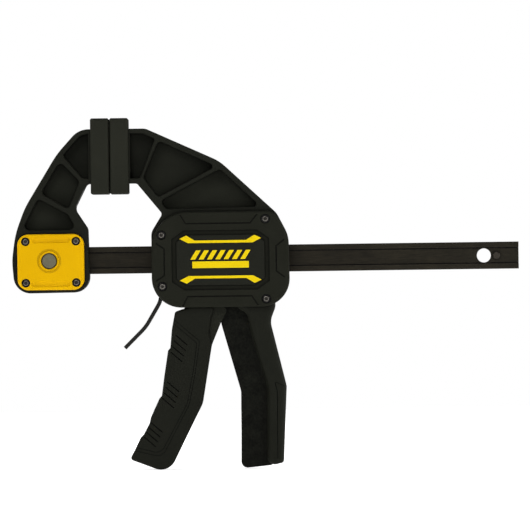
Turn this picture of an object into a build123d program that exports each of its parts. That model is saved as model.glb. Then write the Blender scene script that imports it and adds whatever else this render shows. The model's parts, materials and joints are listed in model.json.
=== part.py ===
from build123d import *
from math import cos, radians, sin
import os

# One-handed trigger bar clamp, in millimetres.
# X runs along the bar, from the fixed jaw towards the hanging hole. Z is up, from the handle to the pads.
# Y runs across the tool, and -Y is its front. The origin is the centre of the fixed pad's clamping face.

os.makedirs("parts", exist_ok=True)

# ---- pads ----
throat_depth = 82.0
pad_height = 48.5
pad_width = 30.0
pad_depth = 11.8
pad_overlap = 5.6
pad_corner = 1.6
pad_gap = 0.6
pad_bevel = 0.7
pad_back_round = 1.2

# ---- bar ----
bar_height = 17.3
bar_thickness = 6.0
bar_web = 3.2
bar_flange = 3.4
bar_edge = 0.6
bar_groove_width = 0.8
bar_groove_depth = 0.8
bar_left = -61.1
bar_right = 261.0
bar_hole_radius = 4.5
bar_hole_setback = 22.2
stop_pin_radius = 2.3
stop_pin_setback = 14.3
stop_pin_half = 4.0
stop_pin_edge = 0.4
slide_clearance = 0.2

# ---- jaw arms, shared by both jaws ----
frame_half = 13.0
arm_web_half = 3.0
arm_half_height = 17.4
rim_round = 0.8

# ---- fixed jaw cover plates, button and its latch yoke ----
plate_width = 42.6
plate_height = 35.6
plate_thickness = 3.0
plate_corner = 7.0
plate_x = -37.8
plate_z = -67.1
plate_screw_pitch_x = 32.2
plate_screw_pitch_z = 26.4
plate_edge_round = 0.9
plate_recess_radius = 2.8
plate_groove_z = 14.0
plate_groove_length = 26.0
plate_groove_radius = 2.4
plate_groove_depth = 0.9
plate_hole_depth = 4.0
button_radius = 4.7
button_round = 0.7
button_hole_radius = 5.1
button_ring_radius = 6.4
button_ring_height = 0.5
button_ring_round = 0.4
button_ring_chamfer = 0.6
button_groove_width = 1.3
button_groove_depth = 0.4
button_proud = 0.3
yoke_width = 10.4
yoke_corner = 1.0
yoke_sheet = 1.5
yoke_arm_reach = 11.6
yoke_front = 10.2
yoke_rear = 5.0
yoke_window = 1.6
latch_radius = 4.4
latch_tip = 1.0
latch_edge = 0.5
spring_pocket_depth = 1.5
spring_pocket_radius = 4.6

# ---- clamp body ----
cover_thickness = 4.5
cover_left = 26.4
cover_right = 114.6
cover_top = -36.2
cover_bottom = -97.2
cover_corner = 18.0
cover_edge_round = 1.4
cover_screws = ((32.8, -50.8), (99.2, -41.2), (33.1, -83.6), (99.3, -92.2))
web_half = 7.0
chamber_right = 110.8
handle_round = 3.6
handle_hollow = 1.2
trigger_opening = (45.3, 81.0)
lever_opening = (24.0, 40.5)
lever_slot_z = -92.5
lever_slot_height = 17.0
lever_slot_play = 0.6
seat_rib_thickness = 2.5
boss_radius = 4.3
boss_depth = 3.5
boss_floor = 1.0
insert_proud = 0.3
insert_top = -144.6
insert_bottom = -195.2
insert_fall = 0.4277
insert_seam_width = 1.2
insert_seam_depth = 0.9
insert_edge = ((105.0, insert_bottom), (105.2, -151.0), (103.4, insert_top))
insert_edge_radii = (1.5, 6, 1, 0, 0)
cover_recess_radius = 3.1
label_x = 70.4
label_z = -67.1
label_width = 56.2
label_height = 32.0
label_recess = 1.4
label_margin = 3.2
label_chamfer_x = 6.6
label_chamfer_z = 4.2
label_chamfer_growth = 0.4
label_edge = 0.35
trim_height = 0.4
trim_rise = 0.45
groove_width = 1.0
groove_depth = 0.7
pivot_socket_depth = 2.0

# ---- screws ----
screw_head_radius = 2.0
screw_head_height = 1.4
screw_head_round = 0.7
screw_shank_radius = 1.3
screw_shank_length = 4.6
screw_lobe_radius = 0.34
screw_lobe_ring = 0.86
screw_socket_depth = 1.1
screw_sink = 0.5
washer_radius = 2.75
washer_thickness = 0.4
washer_clearance = 0.05
washer_edge = 0.12

# ---- trigger and drive plates ----
pivot_x = 60.5
pivot_z = -49.0
pivot_radius = 3.0
pivot_boss_radius = 6.0
pivot_clearance = 0.05
cheek_inner = 8.0
cheek_outer = 10.6
cheek_play = 0.4
grip_half = 12.6
grip_edge_round = 1.6
grip_border_width = 0.6
grip_border_depth = 0.4
grip_rib_width = 0.8
grip_rib_depth = 0.9
grip_rib_count = 4
grip_rib_run = 7.4
grip_rib_drop = 6.5
grip_rib_groups = ((41.0, -114.6, -1.07, -3.6), (35.4, -144.4, -1.1, -3.47), (24.6, -170.2, -1.5, -3.05))
nose_radius = 4.0
nose_x = 63.5
drive_gap = 0.15
drive_plate_thickness = 3.0
drive_plate_half = 10.5
drive_plate_height = 32.0
drive_plate_corner = 2.0
drive_plate_play = 0.05

# ---- brake plate and release lever ----
fulcrum_x = 41.5
fulcrum_z = -48.0
lever_thickness = 2.4
lever_half = 7.5
brake_thickness = 3.4
brake_half = 9.2
brake_length = 35.0
brake_window = 19.2
brake_tilt = 9.0
brake_play = 0.3
lever_top = 3.5
lever_knee = 46.5
lever_window_extra = 1.0
window_side_play = 0.3

# ---- springs ----
drive_spring_radius = 10.55
drive_spring_wire = 0.85
drive_spring_turns = 8
brake_spring_radius = 3.0
brake_spring_wire = 0.4
brake_spring_turns = 3
brake_spring_x = 34.2
brake_spring_z = -88.5
button_spring_radius = 3.4
button_spring_wire = 0.35
button_spring_turns = 4

# ---- places that follow from the dimensions above ----
bar_top = pad_height / 2 - throat_depth
bar_mid = bar_top - bar_height / 2
bar_holes = (bar_left + bar_hole_setback, bar_right - bar_hole_setback)
stop_pins = (bar_left + stop_pin_setback, bar_right - stop_pin_setback)
button_x = bar_holes[0]
fixed_arm_end = pad_overlap - pad_depth
moving_arm_end = pad_gap + pad_depth - pad_overlap
cover_face = frame_half + cover_thickness
plate_face = frame_half + plate_thickness
screw_recess_depth = screw_head_height + screw_sink + washer_thickness
sides = (1, -1)


def export(builder, name):
    """Label a finished piece and write it under its own name."""
    builder.part.label = name
    export_step(builder.part, f"parts/{name}.step")


def coil_spring(start, direction, length, mean_radius, wire_radius, turns):
    """A compression spring wound from a seat at start, along direction."""
    with BuildPart() as spring:
        with BuildLine() as winding:
            Helix(
                pitch=(length - 2 * wire_radius) / turns,
                height=length - 2 * wire_radius,
                radius=mean_radius,
                center=start + direction * wire_radius,
                direction=direction,
            )
        with BuildSketch(Plane(origin=winding.line @ 0, z_dir=winding.line % 0)):
            Circle(wire_radius)
        sweep()
    return spring


def socket_screw():
    """A short domed screw along Z with a six-lobed socket, its head's underside at the origin."""
    with BuildPart() as screw:
        Cylinder(
            screw_head_radius,
            screw_head_height,
            align=(Align.CENTER, Align.CENTER, Align.MIN),
        )
        fillet(screw.faces().sort_by(Axis.Z)[-1].edges(), screw_head_round)
        with BuildSketch(Plane.XY.offset(screw_head_height)):
            Circle(screw_lobe_ring)
            with PolarLocations(screw_lobe_ring, 6):
                Circle(screw_lobe_radius)
        extrude(amount=-screw_socket_depth, mode=Mode.SUBTRACT)
        Cylinder(
            screw_shank_radius,
            screw_shank_length,
            align=(Align.CENTER, Align.CENTER, Align.MAX),
        )
    return screw.part


def flat_washer():
    """The washer that goes under the screw's head, its upper face at the origin."""
    with BuildPart() as washer:
        Cylinder(
            washer_radius,
            washer_thickness,
            align=(Align.CENTER, Align.CENTER, Align.MAX),
        )
        chamfer(washer.faces().sort_by(Axis.Z)[-1].edges(), washer_edge)
        Cylinder(
            screw_shank_radius + washer_clearance,
            4 * washer_thickness,
            mode=Mode.SUBTRACT,
        )
    return washer.part


def copies_at(places, seat, piece):
    """Copies of a screw or washer, facing outward, at the same places on the front and the rear."""
    with BuildPart() as group:
        for side in sides:
            for x, z in places:
                face = Plane(origin=(x, -side * seat, z), x_dir=(1, 0, 0), z_dir=(0, -side, 0))
                add(face * piece)
    return group


# ---- bar: a rolled flat with a shallow channel along each side ----
with BuildPart() as bar:
    with BuildSketch(Plane.YZ.offset(bar_left)) as bar_section:
        with Locations((0, bar_mid)):
            Rectangle(bar_thickness, bar_height)
            chamfer(bar_section.vertices(), bar_edge)
        with Locations((-bar_thickness / 2, bar_mid), (bar_thickness / 2, bar_mid)):
            Rectangle(
                bar_thickness - bar_web,
                bar_height - 2 * bar_flange,
                mode=Mode.SUBTRACT,
            )
        # a fine groove in each corner of the channels
        with Locations((0, bar_mid)):
            with GridLocations(bar_web, bar_height - 2 * bar_flange - bar_groove_width, 2, 2):
                Rectangle(2 * bar_groove_depth, bar_groove_width, mode=Mode.SUBTRACT)
    extrude(amount=bar_right - bar_left)
    with BuildSketch(Plane.XZ):
        with Locations(*[(x, bar_mid) for x in bar_holes]):
            Circle(bar_hole_radius)
        with Locations(*[(x, bar_mid) for x in stop_pins]):
            Circle(stop_pin_radius)
    extrude(amount=bar_thickness, both=True, mode=Mode.SUBTRACT)
export(bar, "bar")

with BuildPart() as bar_stop_pins:
    with BuildSketch(Plane.XZ):
        with Locations(*[(x, bar_mid) for x in stop_pins]):
            Circle(stop_pin_radius)
    extrude(amount=stop_pin_half, both=True)
    pin_ends = bar_stop_pins.faces().filter_by(Axis.Y)
    chamfer(pin_ends.edges(), stop_pin_edge)
export(bar_stop_pins, "bar_stop_pins")

# ---- fixed jaw ----
with BuildPart() as fixed_jaw:
    with BuildSketch(Plane.XZ):
        with BuildLine():
            FilletPolyline(
                (fixed_arm_end, arm_half_height),
                (-19.1, arm_half_height),
                (-33.3, 1.7),
                (-54.1, -32.3),
                (-60.4, -49.0),
                (-62.7, -66.0),
                (-61.0, -87.0),
                (-13.2, -86.6),
                (-14.2, -46.0),
                (-22.4, -33.4),
                (-14.4, -arm_half_height),
                (fixed_arm_end, -arm_half_height),
                radius=(0, 14, 60, 60, 60, 40, 11, 10, 5, 5, 3, 0),
                close=True,
            )
        make_face()
    extrude(amount=frame_half, both=True)
    for side in sides:
        with BuildSketch(Plane.XZ.offset(side * arm_web_half)):
            with BuildLine():
                FilletPolyline(
                    (-13.2, 14.4),
                    (-17.6, 14.4),
                    (-29.6, 1.0),
                    (-17.4, -13.6),
                    (-13.2, -14.2),
                    radius=(0, 9, 2, 2, 0),
                    close=True,
                )
            make_face()
            with BuildLine():
                FilletPolyline(
                    (-31.4, -2.6),
                    (-19.0, -15.8),
                    (-26.2, -33.4),
                    (-43.9, -23.2),
                    radius=(3, 3, 2.5, 3),
                    close=True,
                )
            make_face()
            with BuildLine():
                FilletPolyline(
                    (-45.8, -26.3),
                    (-26.6, -36.8),
                    (-21.0, -46.7),
                    (-56.2, -46.7),
                    radius=(2.5, 4, 3, 3),
                    close=True,
                )
            make_face()
        extrude(amount=side * frame_half, mode=Mode.SUBTRACT)
    for side in sides:
        outer_face = fixed_jaw.faces().filter_by(Axis.Y).sort_by(Axis.Y)[0 if side > 0 else -1]
        fillet(outer_face.edges(), rim_round)
    with BuildSketch(Plane.YZ.offset(bar_left - 5)):
        with Locations((0, bar_mid)):
            Rectangle(
                bar_thickness + 2 * slide_clearance,
                bar_height + 2 * slide_clearance,
            )
            Rectangle(
                2 * stop_pin_half + 2 * slide_clearance,
                2 * stop_pin_radius + 4 * slide_clearance,
            )
    extrude(amount=60, mode=Mode.SUBTRACT)
    with BuildSketch(Plane.XZ):
        with Locations((button_x, bar_mid)):
            RectangleRounded(yoke_width + yoke_window, 2 * yoke_arm_reach + yoke_window, yoke_corner)
    extrude(amount=frame_half, both=True, mode=Mode.SUBTRACT)
    for side in sides:
        with BuildSketch(Plane.XZ.offset(side * frame_half)):
            with Locations((plate_x, plate_z)):
                with GridLocations(plate_screw_pitch_x, plate_screw_pitch_z, 2, 2):
                    Circle(screw_shank_radius)
        extrude(amount=-side * plate_hole_depth, mode=Mode.SUBTRACT)
export(fixed_jaw, "fixed_jaw")


def jaw_cover_plate(side):
    """One of the two yellow plates that close the fixed jaw's latch chamber."""
    with BuildPart() as plate:
        with BuildSketch(Plane.XZ.offset(side * frame_half)):
            with Locations((plate_x, plate_z)):
                RectangleRounded(plate_width, plate_height, plate_corner)
        extrude(amount=side * plate_thickness)
        outer_face = plate.faces().filter_by(Axis.Y).sort_by(Axis.Y)[0 if side > 0 else -1]
        fillet(outer_face.edges(), plate_edge_round)
        with BuildSketch(Plane.XZ.offset(side * plate_face)):
            with Locations((plate_x, plate_z)):
                with GridLocations(plate_screw_pitch_x, plate_screw_pitch_z, 2, 2):
                    Circle(plate_recess_radius)
        extrude(amount=-side * screw_recess_depth, mode=Mode.SUBTRACT)
        with BuildSketch(Plane.XZ.offset(side * frame_half)):
            with Locations((plate_x, plate_z)):
                with GridLocations(plate_screw_pitch_x, plate_screw_pitch_z, 2, 2):
                    Circle(screw_shank_radius)
        extrude(amount=side * plate_thickness, mode=Mode.SUBTRACT)
        # two soft valleys, one along each long edge
        axis_y = -side * (plate_face + plate_groove_radius - plate_groove_depth)
        reach = plate_groove_length / 2 - plate_groove_radius
        for z in (plate_z + plate_groove_z, plate_z - plate_groove_z):
            with Locations(Location((plate_x, axis_y, z), (0, 90, 0))):
                Cylinder(plate_groove_radius, 2 * reach, mode=Mode.SUBTRACT)
            with Locations((plate_x - reach, axis_y, z), (plate_x + reach, axis_y, z)):
                Sphere(plate_groove_radius, mode=Mode.SUBTRACT)
    return plate


with BuildPart() as front_jaw_cover:
    add(jaw_cover_plate(1).part)
    with BuildSketch(Plane.XZ.offset(plate_face)):
        with Locations((button_x, bar_mid)):
            Circle(button_ring_radius)
    extrude(amount=button_ring_height)
    fillet(front_jaw_cover.faces().sort_by(Axis.Y)[0].edges(), button_ring_round)
    with BuildSketch(Plane.XZ.offset(plate_face)):
        with Locations((button_x, bar_mid)):
            Circle(button_ring_radius + button_groove_width)
            Circle(button_ring_radius, mode=Mode.SUBTRACT)
    extrude(amount=-button_groove_depth, mode=Mode.SUBTRACT)
    with BuildSketch(Plane.XZ.offset(frame_half)):
        with Locations((button_x, bar_mid)):
            Circle(button_hole_radius)
    extrude(amount=plate_thickness + button_ring_height, mode=Mode.SUBTRACT)
    ring_face = front_jaw_cover.faces().sort_by(Axis.Y)[0]
    chamfer(ring_face.edges().sort_by(SortBy.RADIUS)[0], button_ring_chamfer)
export(front_jaw_cover, "front_jaw_cover")

with BuildPart() as rear_jaw_cover:
    add(jaw_cover_plate(-1).part)
    with BuildSketch(Plane.XZ.offset(-frame_half)):
        with Locations((button_x, bar_mid)):
            Circle(spring_pocket_radius)
    extrude(amount=-spring_pocket_depth, mode=Mode.SUBTRACT)
export(rear_jaw_cover, "rear_jaw_cover")

plate_screws = [
    (plate_x + i * plate_screw_pitch_x / 2, plate_z + j * plate_screw_pitch_z / 2)
    for i in sides
    for j in sides
]
plate_seat = plate_face - screw_head_height - screw_sink
export(copies_at(plate_screws, plate_seat, socket_screw()), "jaw_cover_screws")
export(copies_at(plate_screws, plate_seat, flat_washer()), "jaw_cover_washers")

# ---- quick-change button: a cap, a yoke that passes round the bar, and the latch pin ----
with BuildPart() as latch_button:
    with BuildSketch(Plane.XZ.offset(yoke_front)):
        with Locations((button_x, bar_mid)):
            Circle(button_radius)
    extrude(amount=plate_face + button_proud - yoke_front)
    fillet(latch_button.faces().sort_by(Axis.Y)[0].edges(), button_round)
export(latch_button, "latch_button")

with BuildPart() as latch_yoke:
    with BuildSketch(Plane.XZ.offset(yoke_front)):
        with Locations((button_x, bar_mid)):
            RectangleRounded(yoke_width, 2 * yoke_arm_reach, yoke_corner)
    extrude(amount=-(yoke_front + yoke_rear + yoke_sheet))
    with BuildSketch(Plane.YZ.offset(button_x - yoke_width)):
        with Locations(((yoke_rear - yoke_front + yoke_sheet) / 2, bar_mid)):
            Rectangle(
                yoke_front + yoke_rear - yoke_sheet,
                2 * (yoke_arm_reach - yoke_sheet),
            )
    extrude(amount=2 * yoke_width, mode=Mode.SUBTRACT)
export(latch_yoke, "latch_yoke")

with BuildPart() as latch_pin:
    with BuildSketch(Plane.XZ.offset(-yoke_rear)):
        with Locations((button_x, bar_mid)):
            Circle(latch_radius)
    extrude(amount=yoke_rear + latch_tip)
    chamfer(latch_pin.faces().sort_by(Axis.Y)[0].edges(), latch_edge)
export(latch_pin, "latch_pin")

button_spring = coil_spring(
    Vector(button_x, yoke_rear + yoke_sheet, bar_mid),
    Vector(0, 1, 0),
    frame_half + spring_pocket_depth - yoke_rear - yoke_sheet,
    button_spring_radius,
    button_spring_wire,
    button_spring_turns,
)
export(button_spring, "button_spring")


# ---- pads: rubber caps pushed over the arm ends ----
def pad_cap(face_x, back_x):
    """A cap whose clamping face is at face_x and whose open back is at back_x."""
    inward = 1 if back_x > face_x else -1
    with BuildPart() as pad:
        with BuildSketch(Plane.YZ.offset(face_x)):
            RectangleRounded(pad_width, pad_height, pad_corner)
        extrude(amount=back_x - face_x)
        face_edges = pad.faces().sort_by(Axis.X)[0 if inward > 0 else -1].edges()
        chamfer(face_edges, pad_bevel)
        back_edges = pad.faces().sort_by(Axis.X)[-1 if inward > 0 else 0].edges()
        fillet(back_edges, pad_back_round)
        with BuildSketch(Plane.YZ.offset(back_x)):
            Rectangle(2 * frame_half, 2 * arm_half_height)
        extrude(amount=-inward * pad_overlap, mode=Mode.SUBTRACT)
    return pad


fixed_pad = pad_cap(0.0, -pad_depth)
export(fixed_pad, "fixed_pad")

moving_pad = pad_cap(pad_gap, pad_gap + pad_depth)
export(moving_pad, "moving_pad")

# ---- clamp body frame: moving jaw arm, open housing ring and handle in one moulding ----
shoulder_points = (
    (moving_arm_end, arm_half_height),
    (23.4, arm_half_height),
    (70.5, -4.0),
    (106.5, -37.5),
    (114.0, -52.0),
    (cover_right, cover_bottom),
    (cover_left, cover_bottom),
    (cover_left, -48.8),
    (33.6, -37.2),
    (17.4, -arm_half_height),
    (moving_arm_end, -arm_half_height),
)
shoulder_radii = (0, 8, 30, 12, 20, cover_corner, 19, 8, 2.5, 3, 0)

with BuildPart() as handle_back:
    with BuildSketch(Plane.XZ):
        with BuildLine():
            FilletPolyline(
                (80.0, -91.0),
                (105.0, -91.0),
                (105.1, -97.5),
                (101.6, -106.5),
                (111.6, -148.0),
                (109.2, -196.9),
                (98.8, -199.2),
                (99.3, -148.0),
                (90.2, -117.0),
                (86.6, -101.6),
                (80.0, -97.6),
                radius=(0, 0, 8, 12, 14, 2, 4.5, 20, 20, 7, 0),
                close=True,
            )
        make_face()
    extrude(amount=frame_half, both=True)
    for end in (0, -1):
        fillet(handle_back.faces().filter_by(Axis.Y).sort_by(Axis.Y)[end].edges(), handle_round)

with BuildPart() as body_frame:
    with BuildSketch(Plane.XZ):
        with BuildLine():
            FilletPolyline(*shoulder_points, radius=shoulder_radii, close=True)
        make_face()
    extrude(amount=frame_half, both=True)
    for side in sides:
        with BuildSketch(Plane.XZ.offset(side * arm_web_half)):
            with BuildLine():
                FilletPolyline(
                    (13.4, 14.4),
                    (21.6, 14.4),
                    (29.4, 10.9),
                    (19.6, -14.3),
                    (13.4, -14.3),
                    radius=(0, 5, 1.5, 2, 0),
                    close=True,
                )
            make_face()
            with BuildLine():
                FilletPolyline(
                    (31.6, 9.7),
                    (68.4, -7.2),
                    (30.9, -26.6),
                    (21.6, -13.6),
                    radius=(2.5, 2, 2.5, 2.5),
                    close=True,
                )
            make_face()
            with BuildLine():
                FilletPolyline(
                    (70.7, -8.9),
                    (96.4, -33.4),
                    (35.8, -34.2),
                    (32.4, -28.9),
                    radius=(2.5, 2, 4, 2.5),
                    close=True,
                )
            make_face()
        extrude(amount=side * frame_half, mode=Mode.SUBTRACT)
    for end in (0, -1):
        outer_face = body_frame.faces().filter_by(Axis.Y).sort_by(Axis.Y)[end]
        fillet(outer_face.edges(), rim_round)
    add(handle_back.part)
    # the chamber that holds the mechanism, open to both covers
    with BuildSketch(Plane.XZ):
        with BuildLine():
            FilletPolyline(
                (30.0, -93.8),
                (chamber_right, -93.8),
                (chamber_right, -53.0),
                (103.4, -40.2),
                (36.0, -40.2),
                (30.0, -53.0),
                radius=(15, 14, 14, 8, 6, 6),
                close=True,
            )
        make_face()
        with Locations(((trigger_opening[0] + trigger_opening[1]) / 2, cover_bottom)):
            Rectangle(trigger_opening[1] - trigger_opening[0], 12.0)
    extrude(amount=frame_half, both=True, mode=Mode.SUBTRACT)
    # the lever leaves through a slot in the lower front corner
    with BuildSketch(Plane.XZ):
        with Locations(((lever_opening[0] + lever_opening[1]) / 2, lever_slot_z)):
            Rectangle(lever_opening[1] - lever_opening[0], lever_slot_height)
    extrude(amount=lever_half + lever_slot_play, both=True, mode=Mode.SUBTRACT)
    # the thin web in front of the handle's back
    with BuildSketch(Plane.XZ):
        with BuildLine():
            FilletPolyline(
                (67.8, -96.0),
                (70.6, -109.0),
                (82.4, -151.0),
                (82.0, -200.4),
                (103.0, -198.4),
                (104.0, -150.0),
                (96.0, -118.0),
                (95.0, -96.0),
                radius=(1, 30, 10, 4, 3, 10, 10, 1),
                close=True,
            )
        make_face()
    extrude(amount=web_half, both=True)
    # the web runs into the handle's back in a hollow
    for y in (-web_half, web_half):
        hollow_edges = body_frame.edges().filter_by(Plane.XZ).filter_by_position(Axis.Y, y - 0.1, y + 0.1)
        hollow_edges = hollow_edges.filter_by_position(Axis.Z, -190.0, -112.0)
        fillet(hollow_edges.filter_by_position(Axis.X, 90.0, 102.0), handle_hollow)
    # pockets beside the web, which the trigger's cheeks swing into
    for side in sides:
        with BuildSketch(Plane.XZ.offset(side * web_half)):
            with BuildLine():
                FilletPolyline(
                    (76.0, -92.0),
                    (89.4, -92.0),
                    (90.2, -108.0),
                    (76.0, -108.0),
                    radius=(0, 0, 4, 0),
                    close=True,
                )
            make_face()
        extrude(amount=side * (cheek_outer + cheek_play - web_half), mode=Mode.SUBTRACT)
    # bosses for the cover screws
    for side in sides:
        with BuildSketch(Plane.XZ.offset(side * frame_half)):
            with Locations(*cover_screws):
                Circle(boss_radius)
        extrude(amount=-side * boss_depth)
    for side in sides:
        with BuildSketch(Plane.XZ.offset(side * frame_half)):
            with Locations(*cover_screws):
                Circle(screw_shank_radius)
        extrude(amount=-side * (boss_depth - boss_floor), mode=Mode.SUBTRACT)
    # the notch that the brake plate rocks in, and the rib behind the brake spring
    with BuildSketch(Plane.XZ):
        with Locations((fulcrum_x, -45.0)):
            Rectangle(10.5, 11.0)
        with Locations((trigger_opening[0] - seat_rib_thickness / 2, -89.8)):
            Rectangle(seat_rib_thickness, 10.4)
    extrude(amount=brake_half, both=True)
    with BuildSketch(Plane.XZ):
        with Locations((fulcrum_x, fulcrum_z)):
            Circle(brake_thickness / 2 + brake_play)
        with BuildLine():
            Polyline(
                (fulcrum_x - 2.4, fulcrum_z),
                (fulcrum_x + 2.4, fulcrum_z),
                (fulcrum_x + 3.6, -51.0),
                (fulcrum_x - 6.0, -51.0),
                (fulcrum_x - 6.0, fulcrum_z),
                close=True,
            )
        make_face()
    extrude(amount=frame_half, both=True, mode=Mode.SUBTRACT)
    # the passage for the bar
    with BuildSketch(Plane.YZ.offset(cover_left - 1)):
        with Locations((0, bar_mid)):
            Rectangle(
                bar_thickness + 2 * slide_clearance,
                bar_height + 2 * slide_clearance,
            )
    extrude(amount=cover_right - cover_left + 2, mode=Mode.SUBTRACT)
    # the bed of the soft grip on the handle's rear edge
    with BuildSketch(Plane.XZ):
        with BuildLine():
            FilletPolyline(
                *insert_edge,
                (120.0, insert_top - (120.0 - insert_edge[-1][0]) * insert_fall),
                (120.0, insert_bottom),
                radius=insert_edge_radii,
                close=True,
            )
        make_face()
    extrude(amount=frame_half + 1, both=True, mode=Mode.SUBTRACT)
export(body_frame, "body_frame")

with BuildPart() as handle_grip:
    with BuildSketch(Plane.XZ):
        with BuildLine():
            FilletPolyline(
                *insert_edge,
                (111.6, insert_top - (111.6 - insert_edge[-1][0]) * insert_fall),
                (109.3, insert_bottom),
                radius=insert_edge_radii,
                close=True,
            )
        make_face()
    extrude(amount=frame_half + insert_proud, both=True)
    least_length = 0.85 * (insert_top - insert_bottom)
    long_edges = handle_grip.edges().filter_by(lambda edge: edge.length > least_length)
    fillet(long_edges.sort_by(Axis.X)[-2:], handle_round)
    # a seam along the edge that meets the handle
    for side in sides:
        with BuildSketch(Plane.XZ.offset(side * (frame_half + insert_proud))):
            with BuildLine():
                FilletPolyline(
                    *insert_edge,
                    (111.6, insert_top - (111.6 - insert_edge[-1][0]) * insert_fall),
                    radius=insert_edge_radii[1:3],
                )
            trace(line_width=insert_seam_width)
        extrude(amount=-side * insert_seam_depth, mode=Mode.SUBTRACT)
export(handle_grip, "handle_grip")


# ---- clamp body covers ----
def clamp_cover(side):
    """One of the two covers that close the chamber and hold the trigger's pivot pin."""
    label_half_x = label_width / 2
    label_half_z = label_height / 2
    with BuildPart() as cover:
        with BuildSketch(Plane.XZ.offset(side * frame_half)):
            with BuildLine():
                FilletPolyline(
                    (cover_left, cover_bottom),
                    (cover_right, cover_bottom),
                    (113.9, -52.4),
                    (105.5, cover_top),
                    (cover_left, cover_top),
                    radius=(19, cover_corner, 20, 10, 23),
                    close=True,
                )
            make_face()
        extrude(amount=side * cover_thickness)
        outer_face = cover.faces().filter_by(Axis.Y).sort_by(Axis.Y)[0 if side > 0 else -1]
        fillet(outer_face.edges(), cover_edge_round)
        with BuildSketch(Plane.XZ.offset(side * cover_face)):
            add(label_outline(label_margin))
        extrude(amount=-side * label_recess, mode=Mode.SUBTRACT)
        with BuildSketch(Plane.XZ.offset(side * cover_face)):
            for line in groove_lines(label_half_x, label_half_z):
                with BuildLine():
                    Polyline(*line)
                trace(line_width=groove_width)
        extrude(amount=-side * groove_depth, mode=Mode.SUBTRACT)
        with BuildSketch(Plane.XZ.offset(side * cover_face)):
            with Locations(*cover_screws):
                Circle(cover_recess_radius)
        extrude(amount=-side * screw_recess_depth, mode=Mode.SUBTRACT)
        with BuildSketch(Plane.XZ.offset(side * frame_half)):
            with Locations(*cover_screws):
                Circle(screw_shank_radius)
        extrude(amount=side * cover_thickness, mode=Mode.SUBTRACT)
        with BuildSketch(Plane.XZ.offset(side * frame_half)):
            with Locations((pivot_x, pivot_z)):
                Circle(pivot_radius + pivot_clearance)
        extrude(amount=side * pivot_socket_depth, mode=Mode.SUBTRACT)
    return cover


def label_outline(margin):
    """The label's eight-sided outline, grown by margin."""
    half_x = label_width / 2 + margin
    half_z = label_height / 2 + margin
    cut_x = label_chamfer_x + margin * label_chamfer_growth
    cut_z = label_chamfer_z + margin * label_chamfer_growth
    with BuildSketch(Plane.XY, mode=Mode.PRIVATE) as outline:
        with BuildLine():
            Polyline(
                (label_x - half_x, label_z - half_z + cut_z),
                (label_x - half_x + cut_x, label_z - half_z),
                (label_x + half_x - cut_x, label_z - half_z),
                (label_x + half_x, label_z - half_z + cut_z),
                (label_x + half_x, label_z + half_z - cut_z),
                (label_x + half_x - cut_x, label_z + half_z),
                (label_x - half_x + cut_x, label_z + half_z),
                (label_x - half_x, label_z + half_z - cut_z),
                close=True,
            )
        make_face()
    return outline.sketch


def groove_lines(half_x, half_z):
    """Centre lines of the four shallow grooves that frame the label, one towards each edge of the cover."""
    top = label_z + half_z + 7.4
    bottom = label_z - half_z - 7.1
    left = label_x - half_x - 7.8
    right = label_x + half_x + 7.4
    return (
        (
            (label_x - 25.6, top + 5.6),
            (label_x - 22.0, top),
            (label_x + 19.0, top),
            (label_x + 23.6, top + 5.6),
        ),
        (
            (label_x - 24.4, bottom - 6.2),
            (label_x - 21.2, bottom),
            (label_x + 19.6, bottom),
            (label_x + 23.8, bottom - 6.2),
        ),
        (
            (left - 5.2, label_z + 11.0),
            (left, label_z + 7.4),
            (left, label_z - 9.4),
            (left - 5.2, label_z - 13.0),
        ),
        (
            (right + 5.2, label_z + 12.6),
            (right, label_z + 8.6),
            (right, label_z - 7.4),
            (right + 5.2, label_z - 11.4),
        ),
    )


front_cover = clamp_cover(1)
export(front_cover, "front_cover")

rear_cover = clamp_cover(-1)
export(rear_cover, "rear_cover")

cover_seat = cover_face - screw_head_height - screw_sink
export(copies_at(cover_screws, cover_seat, socket_screw()), "cover_screws")
export(copies_at(cover_screws, cover_seat, flat_washer()), "cover_washers")


# ---- label panels and their raised yellow trim ----
def label_panel(side):
    """A flat panel that fills the recess of one cover, less a margin all round."""
    with BuildPart() as panel:
        with BuildSketch(Plane.XZ.offset(side * (cover_face - label_recess))):
            add(label_outline(0.0))
        extrude(amount=side * label_recess)
        outer_face = panel.faces().filter_by(Axis.Y).sort_by(Axis.Y)[0 if side > 0 else -1]
        chamfer(outer_face.edges(), label_edge)
    return panel


def label_trim(side):
    """Two bent bars along the panel's long edges, with a row of strokes and a stripe between them."""
    stroke_count = 7
    stroke_pitch = 5.3
    stroke_lean = 1.8
    stroke_width = 3.0
    stroke_base = 0.0
    stroke_top = 5.8
    stripe_length = 36.0
    stripe_height = 4.2
    stripe_z = -3.4
    middle = label_z + trim_rise
    with BuildPart() as trim:
        with BuildSketch(Plane.XZ.offset(side * cover_face)):
            for up in sides:
                with BuildLine():
                    Polyline(
                        (label_x - 26.0, middle + up * 13.3),
                        (label_x - 21.7, middle + up * 15.3),
                        (label_x - 16.4, middle + up * 12.1),
                        (label_x + 16.4, middle + up * 12.1),
                        (label_x + 21.7, middle + up * 15.3),
                        (label_x + 26.0, middle + up * 13.3),
                        (label_x + 20.6, middle + up * 10.5),
                        (label_x - 20.6, middle + up * 10.5),
                        close=True,
                    )
                make_face()
            for i in range(stroke_count):
                x = label_x + (i - (stroke_count - 1) / 2) * stroke_pitch
                with BuildLine():
                    Polyline(
                        (x - stroke_lean - stroke_width / 2, middle + stroke_base),
                        (x - stroke_lean + stroke_width / 2, middle + stroke_base),
                        (x + stroke_lean + stroke_width / 2, middle + stroke_top),
                        (x + stroke_lean - stroke_width / 2, middle + stroke_top),
                        close=True,
                    )
                make_face()
            with Locations((label_x, middle + stripe_z)):
                Rectangle(stripe_length, stripe_height)
        extrude(amount=side * trim_height)
    return trim


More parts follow.
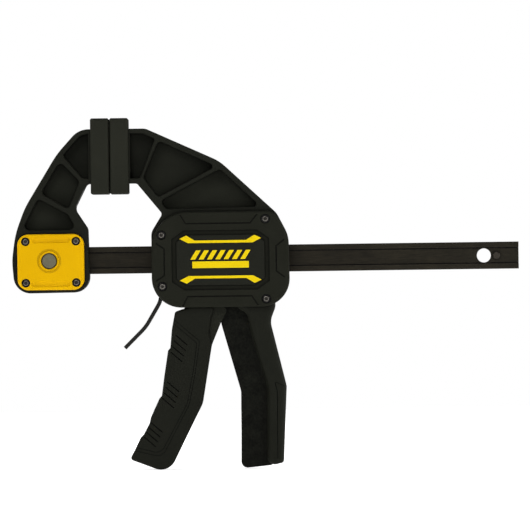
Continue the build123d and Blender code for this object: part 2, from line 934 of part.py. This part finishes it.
for side, place in ((1, "front"), (-1, "rear")):
    export(label_panel(side), f"{place}_label_panel")
    export(label_trim(side), f"{place}_label_trim")

# ---- trigger ----
with BuildPart() as pivot_pin:
    with BuildSketch(Plane.XZ):
        with Locations((pivot_x, pivot_z)):
            Circle(pivot_radius)
    extrude(amount=frame_half + pivot_socket_depth, both=True)
export(pivot_pin, "trigger_pivot_pin")

core_front = (
    (44.4, -103.0),
    (42.4, -115.5),
    (38.2, -129.8),
    (35.8, -149.8),
    (16.8, -190.0),
    (35.0, -197.0),
)
with BuildPart() as trigger_core:
    with BuildSketch(Plane.XZ):
        with BuildLine():
            FilletPolyline(
                (54.6, pivot_z),
                (50.4, -87.0),
                (46.8, -98.0),
                *core_front,
                (57.8, -158.8),
                (64.0, -121.5),
                (69.8, -107.6),
                (74.0, -99.2),
                (62.2, -87.4),
                (63.6, -71.0),
                (65.8, -60.0),
                (66.4, pivot_z),
                radius=(0, 10, 6, 1, 12, 20, 25, 2, 3, 15, 12, 4, 2, 3, 8, 8, 0),
                close=True,
            )
        make_face()
        with Locations((pivot_x, pivot_z)):
            Circle(pivot_boss_radius)
        with Locations((nose_x, bar_mid)):
            Circle(nose_radius)
    extrude(amount=cheek_outer, both=True)
    with BuildSketch(Plane.XZ):
        with BuildLine():
            Polyline(
                (30.0, -40.0),
                (30.0, -88.0),
                (50.8, -88.0),
                (50.2, -99.0),
                (46.0, -116.0),
                (41.8, -130.5),
                (39.4, -150.6),
                (22.0, -188.6),
                (34.6, -194.2),
                (100.0, -194.2),
                (100.0, -40.0),
                close=True,
            )
        make_face()
    extrude(amount=cheek_inner, both=True, mode=Mode.SUBTRACT)
    with BuildSketch(Plane.XZ):
        with Locations((pivot_x, pivot_z)):
            Circle(pivot_radius + pivot_clearance)
    extrude(amount=cheek_outer, both=True, mode=Mode.SUBTRACT)
export(trigger_core, "trigger_core")

# the front edge steps out below each group of ribs
grip_front = (
    (40.9, -99.8),
    (38.7, -111.0),
    (37.6, -122.8),
    (36.1, -124.5),
    (33.4, -141.5),
    (31.8, -153.3),
    (30.2, -155.1),
    (24.6, -167.0),
    (23.7, -170.8),
    (19.7, -178.2),
    (17.8, -180.1),
    (14.4, -187.2),
    (10.9, -193.6),
)
grip_front_radii = (2, 8, 0.8, 0.8, 8, 0.8, 0.8, 2, 2, 0.8, 0.8, 6, 2)
grip_borders = (
    ((40.0, -104.6), (56.4, -118.8), (53.4, -138.0), (49.4, -158.8), (31.6, -192.4), (12.0, -187.6)),
    ((40.0, -107.4), (54.6, -120.0), (52.0, -138.0), (48.0, -158.4), (30.8, -190.2), (13.0, -185.6)),
)
with BuildPart() as trigger_grip:
    with BuildSketch(Plane.XZ):
        with BuildLine():
            FilletPolyline(
                *grip_front,
                (35.6, -203.0),
                (57.8, -158.8),
                (64.0, -121.5),
                (62.4, -113.0),
                (64.0, -103.0),
                (66.8, -96.2),
                (52.0, -96.2),
                radius=(*grip_front_radii, 10, 15, 2.4, 8, 6, 2.4, 3),
                close=True,
            )
        make_face()
    extrude(amount=grip_half, both=True)
    for end in (0, -1):
        flank = trigger_grip.faces().filter_by(Axis.Y).sort_by(Axis.Y)[end]
        fillet(flank.edges(), grip_edge_round)
    with BuildSketch(Plane.XZ):
        with BuildLine():
            FilletPolyline(
                (50.4, -87.0),
                (46.8, -98.0),
                *core_front,
                (100.0, -166.6),
                (100.0, -87.0),
                radius=(0, 6, 1, 12, 20, 25, 2, 0, 0, 0),
                close=True,
            )
        make_face()
    extrude(amount=cheek_outer, both=True, mode=Mode.SUBTRACT)
    # moulded grooves on both flanks: a double border, and three groups of slanted ribs
    for side in sides:
        with BuildSketch(Plane.XZ.offset(side * grip_half)):
            for border in grip_borders:
                with BuildLine():
                    FilletPolyline(*border, radius=(3, 40, 15, 6))
                trace(line_width=grip_border_width)
        extrude(amount=-side * grip_border_depth, mode=Mode.SUBTRACT)
        with BuildSketch(Plane.XZ.offset(side * grip_half)):
            for x, z, step_x, step_z in grip_rib_groups:
                for i in range(grip_rib_count):
                    rib_x = x + i * step_x
                    rib_z = z + i * step_z
                    with BuildLine():
                        Line((rib_x, rib_z), (rib_x + grip_rib_run, rib_z - grip_rib_drop))
                    trace(line_width=grip_rib_width)
        extrude(amount=-side * grip_rib_depth, mode=Mode.SUBTRACT)
export(trigger_grip, "trigger_grip")

# ---- drive plates, which grip the bar when the trigger pushes them ----
drive_x = nose_x + nose_radius + drive_gap
with BuildPart() as drive_plates:
    for i in range(2):
        with BuildSketch(Plane.YZ.offset(drive_x + i * drive_plate_thickness)):
            with Locations((0, bar_mid)):
                RectangleRounded(2 * drive_plate_half, drive_plate_height, drive_plate_corner)
                Rectangle(
                    bar_thickness + 4 * slide_clearance,
                    bar_height + 4 * slide_clearance,
                    mode=Mode.SUBTRACT,
                )
        extrude(amount=drive_plate_thickness - drive_plate_play)
export(drive_plates, "drive_plates")

spring_start = drive_x + 2 * drive_plate_thickness
drive_spring = coil_spring(
    Vector(spring_start, 0, bar_mid),
    Vector(1, 0, 0),
    chamber_right - spring_start,
    drive_spring_radius,
    drive_spring_wire,
    drive_spring_turns,
)
export(drive_spring, "drive_spring")

# ---- brake plate and release lever ----
lever_width = 2 * lever_half
run_x = -sin(radians(brake_tilt))
run_z = -cos(radians(brake_tilt))
lever_offset = (brake_thickness + lever_thickness) / 2
lever_x = fulcrum_x + lever_offset * run_z
lever_z = fulcrum_z - lever_offset * run_x

with BuildPart() as brake_plate:
    with BuildSketch(Plane.XZ):
        with Locations(Location((fulcrum_x, fulcrum_z, 0), (0, 0, -brake_tilt))):
            Rectangle(
                brake_thickness,
                brake_length,
                align=(Align.CENTER, Align.MAX),
            )
            Circle(brake_thickness / 2)
    extrude(amount=brake_half, both=True)
    with BuildSketch(Plane.YZ.offset(fulcrum_x - 20)):
        with Locations((0, bar_mid)):
            Rectangle(bar_thickness + 2 * window_side_play, brake_window)
    extrude(amount=40, mode=Mode.SUBTRACT)
export(brake_plate, "brake_plate")

with BuildPart() as release_lever:
    with BuildLine(Plane.XZ) as lever_line:
        FilletPolyline(
            (lever_x + lever_top * run_x, lever_z + lever_top * run_z),
            (lever_x + lever_knee * run_x, lever_z + lever_knee * run_z),
            (22.0, -109.3),
            (8.6, -122.6),
            radius=(15, 30),
        )
    with BuildSketch(Plane(origin=lever_line.line @ 0, x_dir=(0, 1, 0), z_dir=lever_line.line % 0)):
        Rectangle(lever_width, lever_thickness)
    sweep()
    with BuildSketch(Plane.YZ.offset(fulcrum_x - 20)):
        with Locations((0, bar_mid)):
            Rectangle(bar_thickness + 2 * window_side_play, brake_window + lever_window_extra)
    extrude(amount=40, mode=Mode.SUBTRACT)
export(release_lever, "release_lever")

brake_spring = coil_spring(
    Vector(brake_spring_x, 0, brake_spring_z),
    Vector(1, 0, 0),
    trigger_opening[0] - seat_rib_thickness - brake_spring_x,
    brake_spring_radius,
    brake_spring_wire,
    brake_spring_turns,
)
export(brake_spring, "brake_spring")
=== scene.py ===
import json
import math

import bpy
from mathutils import Matrix, Vector


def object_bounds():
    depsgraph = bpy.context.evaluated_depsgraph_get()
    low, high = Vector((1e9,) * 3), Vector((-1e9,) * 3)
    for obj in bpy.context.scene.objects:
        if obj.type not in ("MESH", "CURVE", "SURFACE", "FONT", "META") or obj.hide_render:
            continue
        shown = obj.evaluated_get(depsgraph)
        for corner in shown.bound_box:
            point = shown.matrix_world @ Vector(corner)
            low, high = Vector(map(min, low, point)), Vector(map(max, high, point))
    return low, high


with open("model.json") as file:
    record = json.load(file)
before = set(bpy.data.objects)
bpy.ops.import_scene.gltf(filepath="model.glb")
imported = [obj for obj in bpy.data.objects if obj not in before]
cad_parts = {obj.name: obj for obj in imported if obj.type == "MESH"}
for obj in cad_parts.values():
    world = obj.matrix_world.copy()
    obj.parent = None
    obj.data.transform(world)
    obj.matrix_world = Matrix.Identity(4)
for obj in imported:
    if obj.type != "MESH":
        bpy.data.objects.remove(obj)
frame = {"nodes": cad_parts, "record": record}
cad_low, cad_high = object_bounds()
nodes = frame["nodes"]

# A one-handed trigger bar clamp, in metres. +X runs along the bar, +Z is up, and -Y is the front.
# The clamp's whole shape comes from the frame's nodes. This script adds materials, floor, light and camera.

MM = 0.001
black = (0, 0, 0, 1)
white = (1, 1, 1, 1)

# ---- areas with painted light and shade, as boxes with a lowest and a highest corner ----
# The handle's recessed web: a coarser grain, darkened by painted shade.
shaded_handle_web = ((60 * MM, -7.3 * MM, -210 * MM), (105 * MM, 7.3 * MM, -96 * MM))
# The jaw pockets' bottoms get painted light, stronger towards their lower ends, between the two heights
# below.
painted_light_pockets = ((-70 * MM, -3.2 * MM, -50 * MM), (110 * MM, 3.2 * MM, 30 * MM))
painted_light_start = -6 * MM
painted_light_end = -22 * MM
painted_light_share = 1.45

# ---- marks on mouldings, with paler edges that are partly rubbed wear and partly painted highlight ----
tone_patch = 26 * MM
pebble = 1.3 * MM
blotch = 7 * MM
relief = 0.3 * MM
# How far in the paler edges go: partly rubbed wear, partly painted highlight.
rubbed_and_highlit_edge = 0.5 * MM
# Shares of the base colours on the handle's web, darkened as painted shade.
web_shade_dark_share = 0.2
web_shade_light_share = 0.62

# ---- marks on metals, with painted light on edges and painted shade in creases ----
metal_patch = 18 * MM
mark_height = 0.03 * MM
pit_height = 0.06 * MM
# How far in from outer edges the painted light goes on metals.
metal_painted_light_reach = 0.4 * MM
# Reach and share of the painted shade in metal creases.
metal_shade_reach = 1.6 * MM
metal_shade_share = 0.12


# ---- colours ----
def rgb(red, green, blue):
    """A linear colour from 0-255 display values."""
    values = []
    for value in (red, green, blue):
        value /= 255.0
        values.append(value / 12.92 if value <= 0.04045 else ((value + 0.055) / 1.055) ** 2.4)
    return (*values, 1.0)


def grey(level):
    """A grey between 0 for black and 1 for white."""
    return (level, level, level, 1)


def shade_of(colour, share):
    """The same colour at share of its strength: darker below 1, lighter above it."""
    return (*(share * channel for channel in colour[:3]), 1.0)


# ---- material helpers ----
class Tree:
    """A short way to add nodes and links to one material."""

    def __init__(self, name):
        self.material = bpy.data.materials.new(name)
        self.material.use_nodes = True
        self.nodes = self.material.node_tree.nodes
        self.links = self.material.node_tree.links
        self.shader = self.nodes["Principled BSDF"]
        self.place = self.add("ShaderNodeTexCoord").outputs["Object"]

    def add(self, kind, **settings):
        node = self.nodes.new(kind)
        for key, value in settings.items():
            setattr(node, key, value)
        return node

    def feed(self, socket, value):
        """Set a socket to a number, vector or colour, or link another node's output to it."""
        if isinstance(value, (int, float, tuple)):
            socket.default_value = value
        else:
            self.links.new(value, socket)

    def noise(self, size, detail=3.0, roughness=0.6, stretch=(1, 1, 1)):
        """Noise whose features are about size metres across."""
        mapping = self.add("ShaderNodeMapping")
        self.feed(mapping.inputs["Scale"], stretch)
        self.feed(mapping.inputs["Vector"], self.place)
        noise = self.add("ShaderNodeTexNoise")
        self.feed(noise.inputs["Scale"], 1.0 / size)
        self.feed(noise.inputs["Detail"], detail)
        self.feed(noise.inputs["Roughness"], roughness)
        self.feed(noise.inputs["Vector"], mapping.outputs["Vector"])
        return noise.outputs["Fac"]

    def cells(self, size):
        """Distance from the middle of cells about size metres across."""
        cells = self.add("ShaderNodeTexVoronoi")
        self.feed(cells.inputs["Scale"], 1.0 / size)
        self.feed(cells.inputs["Vector"], self.place)
        return cells.outputs["Distance"]

    def ramp(self, fac, low, high, start=black, end=white):
        """Start below low, end above high."""
        ramp = self.add("ShaderNodeValToRGB")
        first, last = ramp.color_ramp.elements
        first.position, first.color = low, start
        last.position, last.color = high, end
        self.feed(ramp.inputs["Fac"], fac)
        return ramp.outputs["Color"]

    def math(self, operation, a, b):
        node = self.add("ShaderNodeMath", operation=operation)
        self.feed(node.inputs[0], a)
        self.feed(node.inputs[1], b)
        return node.outputs["Value"]

    def blend(self, a, b, share):
        """The sum of share of a and the rest of b, where both are numbers."""
        return self.math("ADD", self.math("MULTIPLY", a, share), self.math("MULTIPLY", b, 1 - share))

    def mix(self, fac, a, b):
        """A colour between a, where fac is 0, and b, where it is 1."""
        node = self.add("ShaderNodeMix", data_type="RGBA")
        self.feed(node.inputs["Factor"], fac)
        self.feed(node.inputs["A"], a)
        self.feed(node.inputs["B"], b)
        return node.outputs["Result"]

    def near(self, distance, inside):
        """1 on open faces, and less within distance metres of the walls of creases or, with inside, of outer
        edges.
        """
        shade = self.add("ShaderNodeAmbientOcclusion", samples=8, inside=inside)
        self.feed(shade.inputs["Distance"], distance)
        return shade.outputs["AO"]

    def edges(self, distance):
        """1 along outer edges within distance metres, 0 on open faces and in creases."""
        return self.ramp(self.math("SUBTRACT", 1.0, self.near(distance, True)), 0.25, 0.75)

    def creases(self, distance):
        """1 in creases and recesses within distance metres of their walls, 0 on open faces: the mask of the
        painted shade.
        """
        return self.ramp(self.near(distance, False), 0.35, 0.9, white, black)

    def axes(self):
        axes = self.add("ShaderNodeSeparateXYZ")
        self.feed(axes.inputs[0], self.place)
        return axes.outputs

    def within(self, low, high):
        """1 inside the box from low to high, 0 outside it."""
        inside = 1.0
        for axis, start, end in zip(self.axes(), low, high):
            inside = self.math("MULTIPLY", inside, self.math("GREATER_THAN", axis, start))
            inside = self.math("MULTIPLY", inside, self.math("LESS_THAN", axis, end))
        return inside

    def below(self, start, end):
        """0 above the height start, rising to 1 at the height end and below it."""
        drop = self.math("SUBTRACT", start, self.axes()["Z"])
        return self.ramp(self.math("DIVIDE", drop, start - end), 0.0, 1.0)

    def roughness(self, fac, low, high):
        """Let the roughness follow fac, from low to high."""
        self.feed(self.shader.inputs["Roughness"], self.ramp(fac, 0.3, 0.7, grey(low), grey(high)))

    def bump(self, *layers):
        """Layers of (height output, strength, distance in metres), added one on the next."""
        normal = None
        for height, strength, distance in layers:
            bump = self.add("ShaderNodeBump")
            self.feed(bump.inputs["Strength"], strength)
            self.feed(bump.inputs["Distance"], distance)
            self.feed(bump.inputs["Height"], height)
            if normal is not None:
                self.feed(bump.inputs["Normal"], normal)
            normal = bump.outputs["Normal"]
        self.feed(self.shader.inputs["Normal"], normal)


def grained(
    name,
    dark,
    light,
    grain,
    depth,
    edge_wear_and_painted_light,
    rough=(0.5, 0.66),
    spec=0.05,
    crease_shade=0.3,
    shade_reach=2.2 * MM,
    web=None,
    painted_light_floors=None,
):
    """A moulded plastic or rubber: fine grain, slow tone changes, painted shade in creases and paler edges.

    Grain and depth are the grain's size and height. Creases get painted shade that darkens to the share
    crease, and reach is how far from their walls it goes. The paler edges are partly rubbed wear and partly
    painted highlight. Web is the box of an area with a coarser grain and painted shade that darkens it.
    Floors is the box of recessed faces that get painted light towards their lower ends.
    """
    tree = Tree(name)
    fine = tree.noise(grain, detail=4.0, roughness=0.65)
    broad = tree.noise(tone_patch, detail=2.0)
    layers = [(fine, 0.55, depth), (broad, 0.15, relief)]
    tone = tree.ramp(tree.blend(fine, broad, 0.65), 0.3, 0.7)
    colour = tree.mix(tone, dark, light)
    if painted_light_floors is not None:
        # Painted light: the pocket bottoms turn lighter towards their lower ends.
        painted_lit = tree.mix(tone, shade_of(dark, painted_light_share), shade_of(light, painted_light_share))
        painted_light_fade = tree.math("MULTIPLY", tree.within(*painted_light_floors), tree.below(painted_light_start, painted_light_end))
        colour = tree.mix(painted_light_fade, colour, painted_lit)
    # Paler edges: partly rubbed wear, partly painted highlight.
    worn_and_highlit = tree.math("MULTIPLY", tree.edges(rubbed_and_highlit_edge), tree.ramp(fine, 0.25, 0.6))
    colour = tree.mix(worn_and_highlit, colour, edge_wear_and_painted_light)
    # On the handle's web: a coarser grain, and painted shade that darkens it.
    if web is not None:
        inside = tree.within(*web)
        pebbles = tree.noise(pebble, detail=3.0, roughness=0.75)
        blotches = tree.noise(blotch, detail=2.0)
        web_tone = tree.ramp(tree.blend(pebbles, blotches, 0.6), 0.36, 0.64)
        web_shaded_colour = tree.mix(web_tone, shade_of(dark, web_shade_dark_share), shade_of(light, web_shade_light_share))
        colour = tree.mix(inside, colour, web_shaded_colour)
        layers.append((tree.math("MULTIPLY", pebbles, inside), 0.8, relief))
    # Painted shade in creases and recesses.
    colour = tree.mix(tree.creases(shade_reach), colour, shade_of(dark, crease_shade))
    tree.feed(tree.shader.inputs["Base Color"], colour)
    tree.feed(tree.shader.inputs["Specular IOR Level"], spec)
    tree.roughness(fine, *rough)
    tree.bump(*layers)
    return tree.material


def metal(
    name,
    dark,
    light,
    size,
    stretch=(1, 1, 1),
    rough=(0.3, 0.5),
    metallic=1.0,
    edge_wear_and_painted_light=None,
    pits=None,
    spec=0.5,
):
    """A drawn, ground or blackened metal with marks stretched along the way it was worked.

    Size is the marks' size across, and pits is the size of the cells of a cast face. Edges take the colour
    edge as painted light, and creases get painted shade.
    """
    tree = Tree(name)
    marks = tree.noise(size, detail=5.0, roughness=0.7, stretch=stretch)
    broad = tree.noise(metal_patch, detail=3.0)
    layers = [(marks, 0.35, mark_height)]
    colour = tree.mix(tree.ramp(tree.blend(marks, broad, 0.6), 0.32, 0.68), dark, light)
    # Painted light on edges: a painted highlight on the bar and lever, painted shade on the screw heads.
    if edge_wear_and_painted_light is not None:
        colour = tree.mix(tree.edges(metal_painted_light_reach), colour, edge_wear_and_painted_light)
    if pits is not None:
        layers.append((tree.cells(pits), 0.5, pit_height))
    # Painted shade in creases and recesses.
    colour = tree.mix(tree.creases(metal_shade_reach), colour, shade_of(dark, metal_shade_share))
    tree.feed(tree.shader.inputs["Base Color"], colour)
    tree.feed(tree.shader.inputs["Metallic"], metallic)
    tree.feed(tree.shader.inputs["Specular IOR Level"], spec)
    tree.roughness(broad, *rough)
    tree.bump(*layers)
    return tree.material


# ---- one material for each slot in the record ----
plastics = {
    "frame_nylon": dict(
        dark=rgb(21, 22, 17),
        light=rgb(30, 31, 25),
        grain=0.35 * MM,
        depth=0.10 * MM,
        edge_wear_and_painted_light=rgb(54, 56, 48),
        crease_shade=0.45,
        shade_reach=1.8 * MM,
        web=shaded_handle_web,
        painted_light_floors=painted_light_pockets,
    ),
    "cover_nylon": dict(
        dark=rgb(23, 24, 18),
        light=rgb(32, 33, 26),
        grain=0.45 * MM,
        depth=0.12 * MM,
        edge_wear_and_painted_light=rgb(50, 52, 43),
        # A wide spread, so the painted shade fills the label recess.
        crease_shade=0.1,
        shade_reach=6.5 * MM,
    ),
    "trigger_nylon": dict(
        dark=rgb(16, 17, 12),
        light=rgb(40, 41, 34),
        grain=0.8 * MM,
        depth=0.22 * MM,
        edge_wear_and_painted_light=rgb(54, 56, 48),
    ),
    "grip_rubber": dict(
        dark=rgb(21, 22, 17),
        light=rgb(29, 30, 24),
        grain=0.28 * MM,
        depth=0.07 * MM,
        edge_wear_and_painted_light=rgb(46, 48, 41),
    ),
    "pad_rubber": dict(
        dark=rgb(29, 30, 24),
        light=rgb(38, 39, 32),
        grain=0.3 * MM,
        depth=0.08 * MM,
        edge_wear_and_painted_light=rgb(62, 64, 56),
    ),
    "yellow_plastic": dict(
        dark=rgb(209, 159, 0),
        light=rgb(223, 174, 0),
        grain=0.5 * MM,
        depth=0.05 * MM,
        edge_wear_and_painted_light=rgb(246, 206, 40),
        rough=(0.4, 0.5),
        spec=0.04,
        crease_shade=0.5,
        shade_reach=4 * MM,
    ),
    "trim_yellow": dict(
        dark=rgb(212, 182, 0),
        light=rgb(228, 198, 4),
        grain=0.4 * MM,
        depth=0.04 * MM,
        edge_wear_and_painted_light=rgb(236, 210, 40),
        rough=(0.4, 0.5),
        spec=0.04,
        crease_shade=0.7,
    ),
    "label_plastic": dict(
        dark=rgb(25, 26, 21),
        light=rgb(31, 32, 26),
        grain=0.9 * MM,
        depth=0.02 * MM,
        edge_wear_and_painted_light=rgb(54, 55, 48),
        rough=(0.34, 0.42),
    ),
}
metals = {
    "bar_steel": dict(
        dark=rgb(17, 15, 9),
        light=rgb(40, 36, 26),
        size=0.5 * MM,
        stretch=(0.06, 1, 1),
        rough=(0.42, 0.55),
        metallic=0.2,
        # painted highlight on its edges
        edge_wear_and_painted_light=rgb(72, 66, 58),
        spec=0.12,
    ),
    "pin_steel": dict(
        dark=rgb(44, 41, 37),
        light=rgb(66, 62, 56),
        size=0.4 * MM,
        rough=(0.3, 0.45),
    ),
    # Near black, far darker than the other steels: painted shade, so that the ring round each screw head
    # shows dark.
    "washer_steel": dict(
        dark=rgb(6, 6, 5),
        light=rgb(12, 12, 10),
        size=0.3 * MM,
        rough=(0.5, 0.7),
        metallic=0.2,
    ),
    "screw_steel": dict(
        dark=rgb(46, 44, 40),
        light=rgb(136, 132, 125),
        size=0.8 * MM,
        rough=(0.28, 0.42),
        # painted shade on the rim of the head
        edge_wear_and_painted_light=rgb(30, 29, 26),
    ),
    "button_zinc": dict(
        dark=rgb(80, 78, 62),
        light=rgb(119, 115, 93),
        size=0.7 * MM,
        rough=(0.42, 0.6),
        metallic=0.6,
        pits=1.1 * MM,
    ),
    "plate_steel": dict(
        dark=rgb(116, 116, 114),
        light=rgb(160, 160, 158),
        size=0.4 * MM,
        stretch=(1, 1, 0.08),
        rough=(0.3, 0.42),
    ),
    "lever_steel": dict(
        dark=rgb(16, 16, 13),
        light=rgb(27, 27, 23),
        size=0.4 * MM,
        stretch=(1, 0.1, 1),
        rough=(0.36, 0.5),
        metallic=0.2,
        # painted highlight on its edges
        edge_wear_and_painted_light=rgb(36, 36, 31),
        spec=0.2,
    ),
    "spring_steel": dict(
        dark=rgb(130, 130, 128),
        light=rgb(176, 176, 172),
        size=0.3 * MM,
        rough=(0.25, 0.35),
    ),
}
finishes = {name: grained(name, **look) for name, look in plastics.items()}
finishes.update({name: metal(name, **look) for name, look in metals.items()})

for part in frame["record"]["subparts"]:
    shown = nodes[part["node"]]
    shown.data.materials.clear()
    shown.data.materials.append(finishes[part["material_slot"]])

# ---- floor: white paper that glows less near the clamp, so that a shadow still shows under it ----
floor_half = 1.6
floor_middle = 0.1
floor_gap = 0.2 * MM
floor_z = cad_low.z - floor_gap
paper_patch = 120 * MM
glow_start = 0.2
glow_end = 0.75
glow_near = 0.66
floor_mesh = bpy.data.meshes.new("floor")
floor_corners = [
    (x * floor_half + floor_middle, y * floor_half, floor_z) for x, y in ((-1, -1), (1, -1), (1, 1), (-1, 1))
]
floor_mesh.from_pydata(floor_corners, [], [(0, 1, 2, 3)])
floor = bpy.data.objects.new("floor", floor_mesh)
bpy.context.scene.collection.objects.link(floor)
paper = Tree("floor_paper")
away = paper.add("ShaderNodeVectorMath", operation="DISTANCE")
paper.feed(away.inputs[0], paper.place)
paper.feed(away.inputs[1], (floor_middle, 0, floor_z))
glow = paper.ramp(away.outputs["Value"], glow_start, glow_end, grey(glow_near), white)
paper_tone = paper.ramp(paper.noise(paper_patch), 0.3, 0.7, grey(0.90), grey(0.94))
paper.feed(paper.shader.inputs["Base Color"], paper_tone)
paper.feed(paper.shader.inputs["Roughness"], 0.9)
paper.feed(paper.shader.inputs["Emission Color"], white)
paper.feed(paper.shader.inputs["Emission Strength"], glow)
floor.data.materials.append(paper.material)

# ---- world: white behind everything the camera sees, and only a dim light on the clamp itself ----
ambient_strength = 0.06
world = bpy.data.worlds.new("studio")
bpy.context.scene.world = world
world.use_nodes = True
sky = world.node_tree
ambient = sky.nodes["Background"]
ambient.inputs["Color"].default_value = white
ambient.inputs["Strength"].default_value = ambient_strength
backdrop = sky.nodes.new("ShaderNodeBackground")
backdrop.inputs["Color"].default_value = white
backdrop.inputs["Strength"].default_value = 1.0
rays = sky.nodes.new("ShaderNodeLightPath")
choose = sky.nodes.new("ShaderNodeMixShader")
sky.links.new(rays.outputs["Is Camera Ray"], choose.inputs["Fac"])
sky.links.new(ambient.outputs["Background"], choose.inputs[1])
sky.links.new(backdrop.outputs["Background"], choose.inputs[2])
sky.links.new(choose.outputs["Shader"], sky.nodes["World Output"].inputs["Surface"])

# ---- square softboxes that face the middle of the clamp: offset from it, width and power in watts ----
softboxes = {
    "key_light": ((-0.22, -0.48, 0.42), 0.22, 1.15),
    "front_light": ((-0.1, -1.2, 0.25), 0.7, 1.5),
    "fill_light": ((0.4, -0.42, 0.16), 0.3, 0.95),
    "top_light": ((0.1, -0.1, 1.3), 0.8, 3.4),
    "back_light": ((-0.5, 1.0, 0.7), 0.8, 7.0),
    "left_light": ((-1.3, 0.25, 0.3), 0.8, 8.0),
    "right_light": ((1.3, 0.25, 0.3), 0.8, 8.0),
}
middle = (cad_low + cad_high) / 2
for name, (offset, width, power) in softboxes.items():
    light = bpy.data.lights.new(name, "AREA")
    light.size = width
    light.energy = power
    lamp = bpy.data.objects.new(name, light)
    lamp.location = middle + Vector(offset)
    lamp.rotation_euler = (-Vector(offset)).to_track_quat("-Z", "Y").to_euler()
    bpy.context.scene.collection.objects.link(lamp)

bpy.context.scene.view_settings.view_transform = "Standard"

# ---- camera: square to the clamp's front, well back, and rolled a little ----
view_x = 98.7 * MM
view_z = -70.7 * MM
view_distance = 4.0
view_width = 339.2 * MM
view_roll = math.radians(0.75)
sensor_width = 36.0
lens_data = bpy.data.cameras.new("camera")
lens_data.sensor_width = sensor_width
lens_data.lens = sensor_width * view_distance / view_width
lens_data.clip_end = 5 * view_distance
camera = bpy.data.objects.new("camera", lens_data)
camera.matrix_world = Matrix(
    (
        (math.cos(view_roll), math.sin(view_roll), 0, view_x),
        (0, 0, -1, -view_distance),
        (-math.sin(view_roll), math.cos(view_roll), 0, view_z),
        (0, 0, 0, 1),
    )
)
bpy.context.scene.collection.objects.link(camera)
bpy.context.scene.camera = camera
